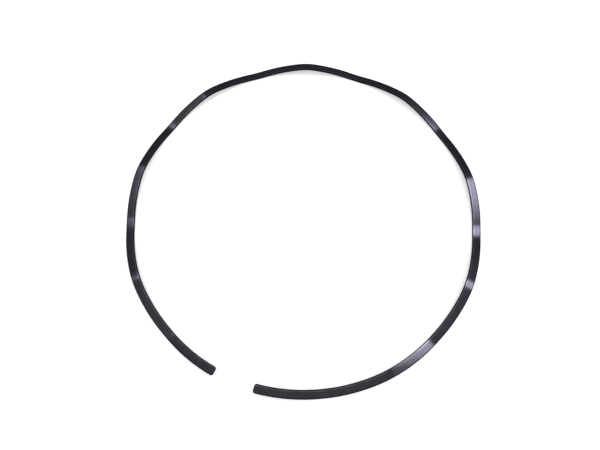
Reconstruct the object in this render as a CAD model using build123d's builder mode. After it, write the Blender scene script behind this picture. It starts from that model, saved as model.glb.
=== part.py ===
from build123d import *
from math import acos, atan2, cos, degrees, hypot, pi, sin, sqrt, tan
import os

# Wave spring: one turn of flat steel wire, coiled on edge and pressed into waves.
# Millimetres. +Z is the spring's axis, pointing up from the plane that the troughs rest on.
# The origin is on the axis, in that plane. The gap between the two ends faces -Y.

# Driving dimensions
OUTSIDE_DIAMETER = 154.0    # pilots in the housing bore
RADIAL_WALL = 3.5           # width of the flat wire, outside radius less inside radius
WIRE_THICKNESS = 0.8        # measured along the axis
FREE_HEIGHT = 3.3           # unloaded, from under the troughs to the top of the crests
WAVE_COUNT = 9              # whole waves; both ends of the wire finish on a crest
END_GAP = 16.1              # between the ends, along the middle of the wire
BEND_RADIUS = 34.0          # of the wire's underside, at each crest and trough
EDGE_ROUNDING = 0.2         # drawn wire, on its four long edges
END_CORNER_RADIUS = 0.9     # the ends' corners, seen along the axis

# How the curved edges are drawn and trimmed
POINTS_PER_WAVE = 12
TRIM_CLEARANCE = 0.02       # the trimming tool is this much wider than the wire, each side

# Sizes that follow from them
MEAN_RADIUS = (OUTSIDE_DIAMETER - RADIAL_WALL) / 2
INSIDE_RADIUS = MEAN_RADIUS - RADIAL_WALL / 2
OUTSIDE_RADIUS = MEAN_RADIUS + RADIAL_WALL / 2
GAP_ANGLE = END_GAP / MEAN_RADIUS
WIRE_ANGLE = 2 * pi - GAP_ANGLE
START_ANGLE = -pi / 2 + GAP_ANGLE / 2
END_ANGLE = START_ANGLE + WIRE_ANGLE
WAVE_ANGLE = WIRE_ANGLE / WAVE_COUNT
WAVE_LENGTH = WAVE_ANGLE * MEAN_RADIUS
HALF_WAVE = WAVE_LENGTH / 2
WAVE_RISE = FREE_HEIGHT - WIRE_THICKNESS

# A straight flank joins the bend at a crest to the bend at a trough, tangent to both.
BEND_CENTRES_APART = 2 * BEND_RADIUS - WAVE_RISE
FLANK_SLOPE = (atan2(HALF_WAVE, BEND_CENTRES_APART)
               - acos(2 * BEND_RADIUS / hypot(BEND_CENTRES_APART, HALF_WAVE)))
BEND_RUN = BEND_RADIUS * sin(FLANK_SLOPE)
BEND_DROP = BEND_RADIUS * (1 - cos(FLANK_SLOPE))


def underside_height(distance):
    """Height of the wire's underside, at a distance along the wire from the middle of a crest."""
    run = min(distance, WAVE_LENGTH - distance)
    if run < BEND_RUN:
        return WAVE_RISE - BEND_RADIUS + sqrt(BEND_RADIUS**2 - run**2)
    if run > HALF_WAVE - BEND_RUN:
        return BEND_RADIUS - sqrt(BEND_RADIUS**2 - (HALF_WAVE - run)**2)
    return WAVE_RISE - BEND_DROP - (run - BEND_RUN) * tan(FLANK_SLOPE)


def wave_edge(radius):
    """The underside's edge at one radius, over the first wave. It is level at both crests."""
    points = []
    for index in range(POINTS_PER_WAVE + 1):
        turned = index * WAVE_ANGLE / POINTS_PER_WAVE
        angle = START_ANGLE + turned
        points.append((radius * cos(angle), radius * sin(angle), underside_height(turned * MEAN_RADIUS)))
    crests = (START_ANGLE, START_ANGLE + WAVE_ANGLE)
    return Spline(*points, tangents=[(-sin(angle), cos(angle), 0) for angle in crests])


# One wave: its underside is straight across the wire and waved along it, and its four long
# edges are rounded, as drawn wire is.
with BuildPart() as one_wave:
    with BuildLine() as inner_edge:
        wave_edge(INSIDE_RADIUS)
    with BuildLine() as outer_edge:
        wave_edge(OUTSIDE_RADIUS)
    underside = Face.make_surface_from_curves(inner_edge.edge(), outer_edge.edge())
    extrude(underside, amount=WIRE_THICKNESS, dir=(0, 0, 1))
    fillet(one_wave.edges().sort_by(SortBy.LENGTH)[-4:], EDGE_ROUNDING)

with BuildPart() as wave_spring:
    with PolarLocations(0, WAVE_COUNT, angular_range=degrees(WIRE_ANGLE)):
        add(one_wave.part)

    # Each end is trimmed by a tool that rounds its corners. In the tool's sketch X points out
    # along the ring's radius, and inward is the way along Y back into the wire.
    tool_reach = 2 * END_CORNER_RADIUS
    for angle, inward in ((START_ANGLE, 1), (END_ANGLE, -1)):
        end_middle = (MEAN_RADIUS * cos(angle), MEAN_RADIUS * sin(angle), 0)
        end_plane = Plane(origin=end_middle, x_dir=(cos(angle), sin(angle), 0), z_dir=(0, 0, 1))
        with BuildSketch(end_plane):
            Rectangle(2 * RADIAL_WALL, 2 * END_CORNER_RADIUS)
            with Locations((0, inward * tool_reach)):
                RectangleRounded(RADIAL_WALL + 2 * TRIM_CLEARANCE, 2 * tool_reach, END_CORNER_RADIUS,
                                 mode=Mode.SUBTRACT)
        extrude(amount=2 * FREE_HEIGHT, both=True, mode=Mode.SUBTRACT)

print("flank slope", round(degrees(FLANK_SLOPE), 2), "degrees")
print("gap angle", round(degrees(GAP_ANGLE), 2), "degrees")
print("volume", round(wave_spring.part.volume, 1), "cubic mm")
print("wire length times its section",
      round(WIRE_ANGLE * MEAN_RADIUS * (RADIAL_WALL * WIRE_THICKNESS - (4 - pi) * EDGE_ROUNDING**2), 1))

os.makedirs("parts", exist_ok=True)
wave_spring.part.label = "wave_spring"
export_step(wave_spring.part, "parts/wave_spring.step")
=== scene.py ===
# %% [markdown]
# # A wave spring in blued spring steel
# This lesson dresses one small part: a ring of flat steel wire, pressed into nine waves, which
# sits in a bearing housing and pushes lightly on the bearing. The measured part comes from the
# frame. What is made here is its fine mesh, its finish and a small studio to see it in.

from math import cos, pi, radians, sin, tan

import bpy
from mathutils import Matrix, Vector


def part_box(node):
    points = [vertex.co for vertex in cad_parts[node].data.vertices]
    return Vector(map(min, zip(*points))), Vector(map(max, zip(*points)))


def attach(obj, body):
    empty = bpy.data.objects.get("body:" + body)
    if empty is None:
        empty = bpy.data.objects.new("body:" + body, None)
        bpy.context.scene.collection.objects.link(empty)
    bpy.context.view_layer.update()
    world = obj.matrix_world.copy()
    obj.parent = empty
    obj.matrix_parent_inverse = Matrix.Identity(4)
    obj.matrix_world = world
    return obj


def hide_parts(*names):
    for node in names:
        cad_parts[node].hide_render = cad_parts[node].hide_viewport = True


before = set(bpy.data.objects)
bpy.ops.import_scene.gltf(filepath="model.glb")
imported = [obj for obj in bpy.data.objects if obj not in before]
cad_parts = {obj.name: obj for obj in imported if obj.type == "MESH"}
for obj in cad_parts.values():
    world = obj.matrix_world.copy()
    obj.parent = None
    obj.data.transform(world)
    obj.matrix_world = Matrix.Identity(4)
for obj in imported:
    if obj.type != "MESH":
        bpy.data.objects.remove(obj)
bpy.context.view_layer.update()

# %% [markdown]
# Everything is in metres and stands on z = 0. The outside diameter and the height are read from
# the frame. The wire's own sizes are stated once here, because they decide the mesh. So are the
# steps of the mesh: many along each wave, and a few round each corner.

# %% Sizes of the ring and its wire
MM = 0.001
low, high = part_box("wave_spring")
OUTSIDE_RADIUS = (high[0] - low[0]) / 2
FREE_HEIGHT = high[2] - low[2]
WIRE_WIDTH = 3.5 * MM
WIRE_THICKNESS = 0.8 * MM
EDGE_ROUNDING = 0.2 * MM
WAVES = 9
END_GAP = 16.1 * MM
BEND_RADIUS = 34.0 * MM
END_CORNER = 0.9 * MM
END_BREAK = 0.1 * MM
STEPS_PER_WAVE = 96
END_STEPS = 14
EDGE_STEPS = 6
MEAN_RADIUS = OUTSIDE_RADIUS - WIRE_WIDTH / 2
WIRE_LENGTH = 2 * pi * MEAN_RADIUS - END_GAP
print("mean radius", round(MEAN_RADIUS / MM, 2), "mm, wire length", round(WIRE_LENGTH / MM, 1), "mm")

# %% [markdown]
# Both the shape and the finish are worked out by nodes. Long sums are hard to read as nodes, so
# a socket is wrapped in a small class that knows plus, minus, times and divide. Writing
# `1 - mask` then adds the Math node, and the sum reads like the sum in a notebook.

# %% A socket that can be used in sums
class Socket:
    """An output of a node, which adds Math nodes when it is used in a sum."""

    def __init__(self, graph, socket):
        self.graph = graph
        self.socket = socket

    def math(self, operation, *others):
        values = dict(enumerate((self, *others)))
        return self.graph.node("ShaderNodeMath", {"operation": operation}, values)

    def __add__(self, other):
        return self.math("ADD", other)

    def __mul__(self, other):
        return self.math("MULTIPLY", other)

    def __sub__(self, other):
        return self.math("SUBTRACT", other)

    def __truediv__(self, other):
        return self.math("DIVIDE", other)

    def __rsub__(self, other):
        return self.graph.node("ShaderNodeMath", {"operation": "SUBTRACT"}, {0: other, 1: self})

    __radd__ = __add__
    __rmul__ = __mul__

    def least(self, other):
        return self.math("MINIMUM", other)

    def most(self, other):
        return self.math("MAXIMUM", other)

    def within(self, low_end, high_end):
        return self.most(low_end).least(high_end)

    def root(self):
        return self.most(0.0).math("SQRT")

    def other_output(self, name):
        return Socket(self.graph, self.socket.node.outputs[name])


# %% [markdown]
# Every other node comes from one method. It takes the node's type, then its settings, then the
# values or links of its sockets. Settings go first, because some of them change the sockets.

# %% One way to add any node
class Graph:
    """A node tree that is built by adding nodes one at a time."""

    def __init__(self, tree):
        self.tree = tree

    def node(self, kind, settings=None, sockets=None, output=0):
        """Adds a node and returns one of its outputs, or None where the node has no output."""
        made = self.tree.nodes.new(kind)
        for name, value in (settings or {}).items():
            if name == "captures":
                for label, data_type in value.items():
                    made.capture_items.new(data_type, label)
            else:
                setattr(made, name, value)
        for key, value in (sockets or {}).items():
            self.connect(made.inputs[key], value)
        return Socket(self, made.outputs[output]) if made.outputs else None

    def connect(self, target, value):
        if isinstance(value, Socket):
            self.tree.links.new(value.socket, target)
        else:
            target.default_value = value


# %% [markdown]
# ## The wire as a rule
# A ring like this is flat wire with rounded edges, coiled on edge and pressed into waves. Each
# crest and trough is a round bend, and the wire between two bends stays straight. One rule
# therefore gives the height all the way round, so the mesh is grown by Geometry Nodes: a rounded
# rectangle is swept along a line, and the line is then laid on the ring. Modelling one wave by
# hand and copying it would leave a seam at every copy.

# %% Named inputs of the wire's node tree
def new_group(name, inputs):
    """An empty Geometry Nodes tree with one float input for each named size."""
    tree = bpy.data.node_groups.new(name, "GeometryNodeTree")
    tree.interface.new_socket("Geometry", in_out="INPUT", socket_type="NodeSocketGeometry")
    for label, value in inputs.items():
        kind = "NodeSocketInt" if isinstance(value, int) else "NodeSocketFloat"
        tree.interface.new_socket(label, in_out="INPUT", socket_type=kind)
    tree.interface.new_socket("Finish", in_out="INPUT", socket_type="NodeSocketMaterial")
    tree.interface.new_socket("Geometry", in_out="OUTPUT", socket_type="NodeSocketGeometry")
    return tree


wire_inputs = {
    "Mean Radius": MEAN_RADIUS,
    "Wire Width": WIRE_WIDTH,
    "Wire Thickness": WIRE_THICKNESS,
    "Edge Rounding": EDGE_ROUNDING,
    "Wave Rise": FREE_HEIGHT - WIRE_THICKNESS,
    "Waves": WAVES,
    "End Gap": END_GAP,
    "Bend Radius": BEND_RADIUS,
    "End Corner": END_CORNER,
    "End Break": END_BREAK,
    "Steps": STEPS_PER_WAVE * WAVES,
    "End Steps": END_STEPS,
    "Edge Steps": EDGE_STEPS,
}
wire_tree = new_group("waved_wire", wire_inputs)
wire = Graph(wire_tree)
given = wire.node("NodeGroupInput")
print("inputs:", ", ".join(wire_inputs))

# %% [markdown]
# The steps along the wire aren't even. The last 0.9 mm at each end gets its own small steps, so
# that the sheared corner comes out round. A quarter turn is shared out among those steps: its
# cosine says how far along the wire a step lies, and its sine how much narrower the wire is there.

# %% Steps along the wire
steps = given.other_output("Steps")
end_steps = given.other_output("End Steps")
corner = given.other_output("End Corner")
mean_radius = given.other_output("Mean Radius")
step = wire.node("GeometryNodeInputIndex")
length = mean_radius * (2 * pi) - given.other_output("End Gap")
first_turn = (step / end_steps).within(0.0, 1.0) * (pi / 2)
last_turn = ((steps - step) / end_steps).within(0.0, 1.0) * (pi / 2)
middle = ((step - end_steps) / (steps - 2 * end_steps)).within(0.0, 1.0)
along = (corner * (1 - first_turn.math("COSINE"))
         + (length - 2 * corner) * middle
         + corner * last_turn.math("COSINE"))
narrowing = corner * (2 - first_turn.math("SINE") - last_turn.math("SINE"))

# %% [markdown]
# The height follows the bends and flanks. `run` is the distance from the nearest crest. Each
# bend is part of a circle, so its drop is a radius less a square root, and the flank between
# the two bends falls at one slope. The slope is the one that touches both circles.

# %% Height of the wire along the ring
rise = given.other_output("Wave Rise")
bend = given.other_output("Bend Radius")
half_wave = length / given.other_output("Waves") / 2
centres = 2 * bend - rise
slant = (centres * centres + half_wave * half_wave).root()
slope = half_wave.math("ARCTAN2", centres) - (2 * bend / slant).math("ARCCOSINE")
bend_run = bend * slope.math("SINE")
bend_drop = bend * (1 - slope.math("COSINE"))


def circle_drop(run):
    """How far a bend falls away at a distance from its middle, up to the end of the bend."""
    held = run.least(bend_run)
    return bend - (bend * bend - held * held).root()


run = along.math("PINGPONG", half_wave)
flank = (run - bend_run).within(0.0, half_wave - 2 * bend_run) * slope.math("TANGENT")
height = rise - circle_drop(run) - flank - (bend_drop - circle_drop(half_wave - run))

# %% [markdown]
# The section is a rectangle with its corners filleted. A sweep turns the line and the section
# into a closed tube, and each of its points remembers two things: where it is along the wire,
# and where it is in the section. From those the point is put in its place on the ring.

# %% Sweep the section
path = wire.node("GeometryNodeCurvePrimitiveLine")
path = wire.node("GeometryNodeResampleCurve", {"mode": "COUNT"}, {"Curve": path, "Count": steps + 1})
path = wire.node("GeometryNodeCaptureAttribute",
                 {"domain": "POINT", "captures": {"Along": "FLOAT", "Height": "FLOAT", "Narrowing": "FLOAT"}},
                 {"Geometry": path, "Along": along, "Height": height, "Narrowing": narrowing})
width = given.other_output("Wire Width")
thickness = given.other_output("Wire Thickness")
section = wire.node("GeometryNodeCurvePrimitiveQuadrilateral", {"mode": "RECTANGLE"},
                    {"Width": width, "Height": thickness})
section = wire.node("GeometryNodeFilletCurve", {"mode": "POLY"},
                    {"Curve": section, "Count": given.other_output("Edge Steps"),
                     "Radius": given.other_output("Edge Rounding")})
section_place = wire.node("GeometryNodeInputPosition")
section = wire.node("GeometryNodeCaptureAttribute", {"domain": "POINT", "captures": {"Place": "VECTOR"}},
                    {"Geometry": section, "Place": section_place})
tube = wire.node("GeometryNodeCurveToMesh", {},
                 {"Curve": path, "Profile Curve": section, "Fill Caps": True})

# %% [markdown]
# At the very end the whole section also shrinks a little, by a small rounding called a break.
# Shearing leaves a sharp burr, and the break stands for the end being smoothed after it.

# %% Put every point in its place on the ring
place = wire.node("ShaderNodeSeparateXYZ", {}, {"Vector": section.other_output("Place")})
across = place.other_output("X")
depth = place.other_output("Y")
along_here = path.other_output("Along")
from_end = along_here.least(length - along_here)
end_break = given.other_output("End Break")
unbroken = from_end.least(end_break)
broken = end_break - (end_break * end_break - (end_break - unbroken) * (end_break - unbroken)).root()
narrow_here = path.other_output("Narrowing") + broken
across_here = across * (1 - 2 * narrow_here / width)
depth_here = depth * (1 - 2 * broken / thickness)
start_angle = given.other_output("End Gap") / (2 * mean_radius) - pi / 2
angle = start_angle + along_here / mean_radius
radius = mean_radius + across_here
position = wire.node("ShaderNodeCombineXYZ", {},
                     {"X": radius * angle.math("COSINE"), "Y": radius * angle.math("SINE"),
                      "Z": path.other_output("Height") + thickness / 2 + depth_here})
solid = wire.node("GeometryNodeSetPosition", {}, {"Geometry": tube, "Position": position})

# %% [markdown]
# The finish has to run along the wire, as the drawing lines do, so three numbers are stored on
# the mesh for it: the place along the wire, across it and through it, in millimetres.

# %% Remember the wire's own directions for the finish
for label, value in (("along", along_here), ("across", across_here), ("depth", depth_here)):
    solid = wire.node("GeometryNodeStoreNamedAttribute", {"data_type": "FLOAT", "domain": "POINT"},
                      {"Geometry": solid, "Name": label, "Value": value / MM})
solid = wire.node("GeometryNodeSetShadeSmooth", {}, {0: solid, "Shade Smooth": True})
solid = wire.node("GeometryNodeRealizeInstances", {}, {"Geometry": solid})
solid = wire.node("GeometryNodeSetMaterial", {},
                  {"Geometry": solid, "Material": given.other_output("Finish")})
wire.node("NodeGroupOutput", {}, {"Geometry": solid})
print("nodes in the wire's tree:", len(wire_tree.nodes))

# %% [markdown]
# ## Blued spring steel
# The wire is hardened carbon steel with a thin black oxide on it, blue-violet where the light
# catches it. Oxide is smooth but not shiny: it reflects only a few hundredths of the light, so
# the ring looks nearly black and shows a lamp as a cool grey patch. Drawing leaves fine lines
# along the wire, and handling leaves small scuffs and nicks. Each is a mask made of stretched
# noise. Three more masks come from the place on the wire: the narrow edges and the sheared ends
# get painted shade, the inner shoulder of each wide face gets a painted highlight line, and the
# steel turns from black near the two ends to a little more violet further round.

# %% The finish
def blued_steel():
    """Black oxide on drawn spring steel, with lengthwise lines, mottling, scuffs, painted shade on the edges
    and a painted highlight on the inner shoulders.
    """
    material = bpy.data.materials.new("blued_spring_steel")
    material.use_nodes = True
    material.node_tree.nodes.clear()
    finish = Graph(material.node_tree)

    def stored(name):
        return finish.node("ShaderNodeAttribute", {"attribute_type": "GEOMETRY", "attribute_name": name},
                           output="Fac")

    along_wire = stored("along")
    across_wire = stored("across")
    through_wire = stored("depth")

    def noise(stretch, scale, detail=2.0, seed=0.0, roughness=0.5):
        """Noise from 0 to 1 in the wire's own directions, stretched along it. Scale is per mm."""
        vector = finish.node("ShaderNodeCombineXYZ", {},
                             {"X": along_wire / stretch + seed, "Y": across_wire, "Z": through_wire})
        return finish.node("ShaderNodeTexNoise", {"noise_dimensions": "3D"},
                           {"Vector": vector, "Scale": scale, "Detail": detail, "Roughness": roughness})

    def mask(value, start, end):
        """0 below start and 1 above end."""
        return finish.node("ShaderNodeMapRange", {"interpolation_type": "SMOOTHSTEP"},
                           {"Value": value, "From Min": start, "From Max": end, "To Min": 0.0, "To Max": 1.0})

    def mixed(factor, colour_a, colour_b):
        """A mix of two colours. On the Mix node they are inputs 6 and 7, and the result is output 2."""
        return finish.node("ShaderNodeMix", {"data_type": "RGBA", "clamp_factor": True},
                           {"Factor": factor, 6: colour_a, 7: colour_b}, output=2)

    drawn_lines = noise(60.0, 5.0, detail=3.0)
    fine_lines = noise(160.0, 14.0, detail=2.0, seed=3.1)
    from_end = along_wire.least(WIRE_LENGTH / MM - along_wire)
    mottling = noise(6.0, 0.16, detail=3.0, seed=7.7)
    patches = noise(2.5, 0.5, detail=4.0, seed=12.4, roughness=0.6)
    scuffs = mask(noise(1.4, 1.1, detail=5.0, seed=20.9, roughness=0.65), 0.66, 0.74)
    half_width = WIRE_WIDTH / MM / 2
    outward = across_wire.math("ABSOLUTE")
    # Painted shade: the outer part of each wide face, the narrow edges and the sheared ends are darkened,
    # standing in for the shade and the shadowed floor they reflect.
    edge_shade = mask(outward, half_width - 0.55, half_width - 0.30).most(mask(0.0 - from_end, -0.5, -0.2))
    shoulder = mask(outward, half_width - 0.90, half_width - 0.65) * (1 - edge_shade)
    inner = mask(0.0 - across_wire, 0.0, 1.0)
    # Painted highlight: a light line on the inner shoulder of each wide face, where the rounded edge catches
    # the lamp, broken up by the patches.
    shoulder_highlight = shoulder * inner * (0.4 + 0.6 * mask(patches, 0.35, 0.6))
    nicks = mask(noise(0.3, 1.6, detail=1.0, seed=31.0), 0.72, 0.78) * mask(patches, 0.5, 0.6)

    black = (0.0265, 0.0255, 0.0310, 1.0)
    violet = (0.0285, 0.0275, 0.0385, 1.0)
    grey = (0.036, 0.036, 0.040, 1.0)
    # Near black, the colour of the painted shade on the edges and ends.
    edge_shade_colour = (0.006, 0.006, 0.008, 1.0)
    # Pale bare steel: real wear for the scuffs and nicks, and the colour of the painted highlight on the
    # inner shoulders.
    bare_steel_and_highlight = (0.10, 0.10, 0.11, 1.0)
    blueing = mask(from_end + 60.0 * (mottling - 0.5), 30.0, 120.0)
    colour = mixed(blueing, black, violet)
    colour = mixed(0.7 * mask(patches, 0.52, 0.75), colour, grey)
    # Lays the painted shade over the edges and ends.
    colour = mixed(0.9 * edge_shade, colour, edge_shade_colour)
    # Mixes towards pale bare steel for the painted shoulder highlight and for the real scuffs and nicks.
    colour = mixed(0.5 * shoulder_highlight + 0.12 * scuffs + 0.3 * nicks, colour, bare_steel_and_highlight)
    roughness = (0.14 + 0.05 * (drawn_lines - 0.5) + 0.05 * (fine_lines - 0.5)
                 + 0.06 * (patches - 0.5) + 0.12 * scuffs)
    relief = 0.6 * drawn_lines + 0.3 * fine_lines - 0.5 * scuffs + 0.3 * patches
    bump = finish.node("ShaderNodeBump", {}, {"Strength": 0.05, "Distance": 0.01 * MM, "Height": relief})
    surface = finish.node("ShaderNodeBsdfPrincipled", {},
                          {"Base Color": colour, "Metallic": 1.0, "Roughness": roughness, "Normal": bump})
    finish.node("ShaderNodeOutputMaterial", {}, {"Surface": surface})
    return material


spring_steel = blued_steel()
print("finish nodes:", len(spring_steel.node_tree.nodes))

# %% [markdown]
# ## Growing the spring
# The tree is now run once on an empty mesh. Its inputs are set by their identifiers, which is
# how a modifier stores them. A Weighted Normal modifier after it keeps the wide faces flat in
# the light, because their corners would otherwise lean towards the narrow rounded edges.

# %% Run the tree and keep a plain mesh
def grow(name, tree, values, finish):
    """Runs a Geometry Nodes tree with the given inputs and returns the result as a plain mesh object."""
    seed_object = bpy.data.objects.new(name + "_seed", bpy.data.meshes.new(name + "_seed"))
    bpy.context.scene.collection.objects.link(seed_object)
    nodes = seed_object.modifiers.new("nodes", "NODES")
    nodes.node_group = tree
    for item in tree.interface.items_tree:
        if item.in_out == "INPUT" and item.name in values:
            nodes[item.identifier] = values[item.name]
        elif item.in_out == "INPUT" and item.name == "Finish":
            nodes[item.identifier] = finish
    weighted = seed_object.modifiers.new("flat faces", "WEIGHTED_NORMAL")
    weighted.keep_sharp = True
    grown = bpy.data.meshes.new_from_object(seed_object.evaluated_get(bpy.context.evaluated_depsgraph_get()))
    bpy.data.objects.remove(seed_object)
    grown.name = name
    piece = bpy.data.objects.new(name, grown)
    bpy.context.scene.collection.objects.link(piece)
    return piece


spring = grow("waved_spring_wire", wire_tree, wire_inputs, spring_steel)
corners = [vertex.co for vertex in spring.data.vertices]
print("vertices", len(corners), "faces", len(spring.data.polygons))
print("height", round(max(c.z for c in corners) / MM, 3), "mm, frame", round(FREE_HEIGHT / MM, 3), "mm")

# %% [markdown]
# The grown mesh takes the place of the measured node and rides with its body. The measured node
# stays in the frame for its collision, but isn't shown.

# %% Hand the piece to the frame
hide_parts("wave_spring")
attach(spring, "root")

# %% [markdown]
# ## The studio
# The ring lies on a plain white floor. Its finish is dark, so what is seen is mostly what it
# reflects: a bright strip lamp high on the right, a dimmer one at the back left, a white wall low
# down and a pale ceiling. The floor keeps the ring's soft shadow.

# %% Floor
def white_floor():
    """Pale floor that shadows still show on. Seen directly or in a reflection it is near white."""
    material = bpy.data.materials.new("white_floor")
    material.use_nodes = True
    material.node_tree.nodes.clear()
    paint = Graph(material.node_tree)
    rays = paint.node("ShaderNodeLightPath", output="Is Camera Ray")
    seen = rays.most(rays.other_output("Is Glossy Ray")).most(rays.other_output("Is Transmission Ray"))
    lit = paint.node("ShaderNodeBsdfDiffuse", {}, {"Color": (0.85, 0.85, 0.85, 1.0)})
    glow = paint.node("ShaderNodeEmission", {}, {"Color": (1.0, 1.0, 1.0, 1.0), "Strength": 0.46 * seen})
    both = paint.node("ShaderNodeAddShader", {}, {0: lit, 1: glow})
    paint.node("ShaderNodeOutputMaterial", {}, {"Surface": both})
    return material


FLOOR_HALF = 4.0
floor_mesh = bpy.data.meshes.new("floor")
floor_corners = [(-FLOOR_HALF, -FLOOR_HALF, 0), (FLOOR_HALF, -FLOOR_HALF, 0),
                 (FLOOR_HALF, FLOOR_HALF, 0), (-FLOOR_HALF, FLOOR_HALF, 0)]
floor_mesh.from_pydata(floor_corners, [], [(0, 1, 2, 3)])
floor_mesh.materials.append(white_floor())
floor = bpy.data.objects.new("floor", floor_mesh)
bpy.context.scene.collection.objects.link(floor)

# %% [markdown]
# Each lamp is a strip between two directions, given as a compass angle and a height angle from
# the ring. The lamps stand well back, so that all of the ring sees them in nearly the same
# direction. The view is turned a little round the ring, and the lamps turn with it.

# %% Lamps
LAMP_DISTANCE = 5.0
VIEW_TURN = radians(20.8)


def direction(turn, elevation):
    """Unit vector towards a compass angle and a height angle, as seen from the ring."""
    heading = radians(turn) + VIEW_TURN
    level = cos(radians(elevation))
    return Vector((level * cos(heading), level * sin(heading), sin(radians(elevation))))


def set_lamp(name, data, away, long_side):
    """Places a lamp so that it faces the ring, with its long side along the given direction."""
    lamp = bpy.data.objects.new(name, data)
    bpy.context.scene.collection.objects.link(lamp)
    long_side = (long_side - away * long_side.dot(away)).normalized()
    lamp_axes = Matrix((long_side, away.cross(long_side), away)).transposed()
    lamp.matrix_world = Matrix.Translation(away * LAMP_DISTANCE) @ lamp_axes.to_4x4()
    return lamp


def strip_lamp(name, start, end, half_width, power):
    """A long lamp between two directions, each given as a compass angle and a height angle."""
    reach = direction(*end) - direction(*start)
    middle = (direction(*start) + direction(*end)).normalized()
    data = bpy.data.lights.new(name, "AREA")
    data.shape = "RECTANGLE"
    data.size = reach.length * LAMP_DISTANCE
    data.size_y = 2 * LAMP_DISTANCE * tan(radians(half_width))
    data.energy = power
    return set_lamp(name, data, middle, reach.normalized())


key = strip_lamp("key_lamp", start=(18, 62), end=(46, 60), half_width=4.0, power=35)
fill = strip_lamp("fill_lamp", start=(121, 53.5), end=(154, 66.5), half_width=1.8, power=12)

# %% [markdown]
# The room has a white wall low down all round, as a backdrop, and a pale ceiling that grows
# brighter towards the top. Between the two it is dim, which keeps the steel looking dark.

# %% Room light
def room_light(wall, ceiling):
    """Light from all round: a white wall that fades out as it rises, and a ceiling that brightens."""
    world = bpy.data.worlds.new("room")
    bpy.context.scene.world = world
    world.use_nodes = True
    world.node_tree.nodes.clear()
    room = Graph(world.node_tree)
    looking = room.node("ShaderNodeTexCoord", output="Generated")
    upward = room.node("ShaderNodeSeparateXYZ", {}, {"Vector": looking}, output="Z").most(0.0)
    above_wall = room.node("ShaderNodeMapRange", {"interpolation_type": "SMOOTHSTEP"},
                           {"Value": upward, "From Min": 0.2, "From Max": 0.45, "To Min": 1.0, "To Max": 0.0})
    brightness = wall * above_wall + ceiling * upward * upward * upward
    light = room.node("ShaderNodeBackground", {}, {"Color": (1.0, 1.0, 1.0, 1.0), "Strength": brightness})
    room.node("ShaderNodeOutputWorld", {}, {"Surface": light})


room_light(wall=1.0, ceiling=1.5)

# %% [markdown]
# ## The camera
# The camera stands in front of the ring and looks steeply down through a wide lens, close
# enough that the near side of the ring looks larger. Distances are in mean radii of the ring.
# It is turned so that the gap is at the lower left.

# %% Camera
CAMERA_ASIDE = -0.0265
CAMERA_FRONT = -0.9085
CAMERA_HEIGHT = 2.2719
LOOK_ASIDE = -0.0209
LOOK_FRONT = -0.0921
LENS_PER_WIDTH = 0.6976
SENSOR_WIDTH = 36.0


def turned(aside, front, up):
    """A point given in mean radii, seen from in front of the camera's side of the ring."""
    point = Vector((aside, front, up)) * MEAN_RADIUS
    return Matrix.Rotation(VIEW_TURN, 3, "Z") @ point + Vector((0, 0, WIRE_THICKNESS / 2))


camera_place = turned(CAMERA_ASIDE, CAMERA_FRONT, CAMERA_HEIGHT)
line_of_sight = (turned(LOOK_ASIDE, LOOK_FRONT, 0) - camera_place).normalized()
sideways = Matrix.Rotation(VIEW_TURN, 3, "Z") @ Vector((1, 0, 0))
sideways = (sideways - line_of_sight * sideways.dot(line_of_sight)).normalized()
upright = sideways.cross(line_of_sight)
camera_data = bpy.data.cameras.new("camera")
camera_data.sensor_width = SENSOR_WIDTH
camera_data.lens = LENS_PER_WIDTH * SENSOR_WIDTH
camera_data.clip_start = 0.01
camera = bpy.data.objects.new("camera", camera_data)
bpy.context.scene.collection.objects.link(camera)
axes = Matrix((sideways, upright, -line_of_sight)).transposed()
camera.matrix_world = Matrix.Translation(camera_place) @ axes.to_4x4()
bpy.context.scene.camera = camera
bpy.context.scene.view_settings.view_transform = "Standard"
print("lens", round(camera_data.lens, 1), "mm, distance", round(camera_place.length, 3), "m")
